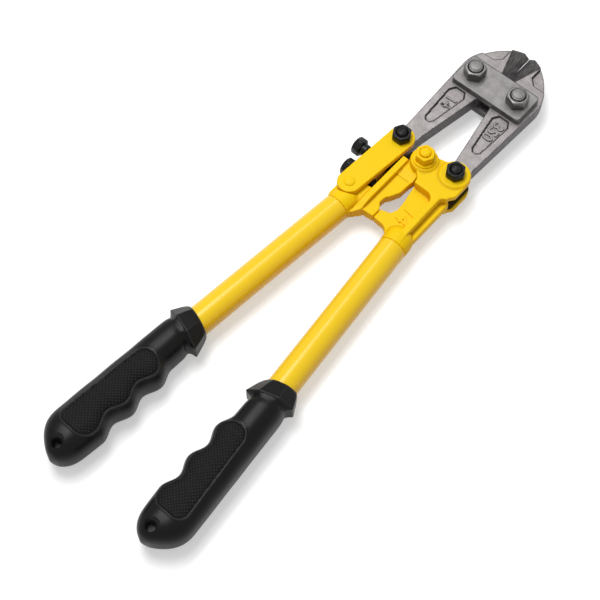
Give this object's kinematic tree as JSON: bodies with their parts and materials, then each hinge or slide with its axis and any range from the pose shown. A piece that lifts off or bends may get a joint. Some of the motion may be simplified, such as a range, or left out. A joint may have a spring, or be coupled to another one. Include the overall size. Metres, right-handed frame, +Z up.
{
  "type": "bolt cutters",
  "caption": "Compound-lever bolt cutters lying flat: forged jaws on a bolted strap, yellow handle heads and tubes, side adjusting screws and black moulded grips.",
  "frame": {"origin": "centre of the bounding box on the plane that the tool lies on", "axes": "+Y from the grips to the jaws, +Z up out of the flat tool, +X to the right-hand handle, which carries the fork"},
  "size_m": [0.0947, 0.3538, 0.0287],
  "materials": {
    "ground_steel": "satin forged and ground steel",
    "plain_steel": "satin plain steel fasteners",
    "yellow_paint": "glossy yellow powder coat",
    "black_oxide": "black oxide fasteners",
    "grip_rubber": "satin black moulded grip"
  },
  "bodies": {
    "right_handle": {"handle_head_right": "yellow_paint", "handle_tube_right": "yellow_paint", "grip_right": "grip_rubber", "tail_bolt_right": "black_oxide", "tail_nut_right": "black_oxide", "centre_bolt": "black_oxide", "centre_nut": "yellow_paint", "centre_washer": "yellow_paint"},
    "left_handle": {"handle_head_left": "yellow_paint", "handle_tube_left": "yellow_paint", "grip_left": "grip_rubber"},
    "adjuster": {"link_plate_top": "yellow_paint", "link_plate_bottom": "yellow_paint", "link_rivet": "yellow_paint", "link_block": "yellow_paint", "tail_bolt_left": "black_oxide", "tail_nut_left": "black_oxide"},
    "right_jaw": {"jaw_right": "ground_steel"},
    "strap": {"strap_plate_top": "ground_steel", "strap_plate_bottom": "ground_steel", "strap_bolt_left": "plain_steel", "strap_bolt_right": "plain_steel", "strap_nut_left": "plain_steel", "strap_nut_right": "plain_steel"},
    "left_jaw": {"jaw_left": "ground_steel"},
    "adjusting_screw": {"adjusting_screw": "black_oxide"},
    "lock_screw": {"lock_screw": "black_oxide"}
  },
  "joints": [
    {"name": "handle_opening", "type": "hinge", "parent": "right_handle", "child": "left_handle", "pos_m": [0, 0.07845, 0.0125], "axis": [0, 0, -1], "range_deg": [0, 105]},
    {"name": "right_jaw_pivot", "type": "hinge", "parent": "right_handle", "child": "right_jaw", "pos_m": [0.0187, 0.08145, 0.0125], "axis": [0, 0, -1], "range_deg": [0, 61.6]},
    {"name": "strap_pivot_right", "type": "hinge", "parent": "right_jaw", "child": "strap", "pos_m": [0.0149, 0.14265, 0.0125], "axis": [0, 0, 1], "range_deg": [0, 9.1]},
    {"name": "strap_pivot_left", "type": "hinge", "parent": "strap", "child": "left_jaw", "pos_m": [-0.0149, 0.14265, 0.0125], "axis": [0, 0, 1], "range_deg": [0, 9.1]},
    {"name": "adjusting_screw_turn", "type": "hinge", "parent": "adjuster", "child": "adjusting_screw", "pos_m": [-0.02, 0.06605, 0.0125], "axis": [1, 0, 0], "range_deg": [0, 190]},
    {"name": "adjuster_swing", "type": "hinge", "parent": "left_handle", "child": "adjuster", "pos_m": [-0.022, 0.04075, 0.0125], "axis": [0, 0, 1], "range_deg": [0, 1.3]},
    {"name": "lock_screw_turn", "type": "hinge", "parent": "left_handle", "child": "lock_screw", "pos_m": [-0.02, 0.05135, 0.0125], "axis": [-1, 0, 0], "range_deg": [0, 360]}
  ],
  "couplings": [
    {"joint": "right_jaw_pivot", "follows": "handle_opening", "ratio": 0.58639},
    {"joint": "strap_pivot_right", "follows": "handle_opening", "ratio": 0.086391},
    {"joint": "strap_pivot_left", "follows": "handle_opening", "ratio": 0.086391},
    {"joint": "adjuster_swing", "follows": "adjusting_screw_turn", "ratio": 0.0063}
  ]
}
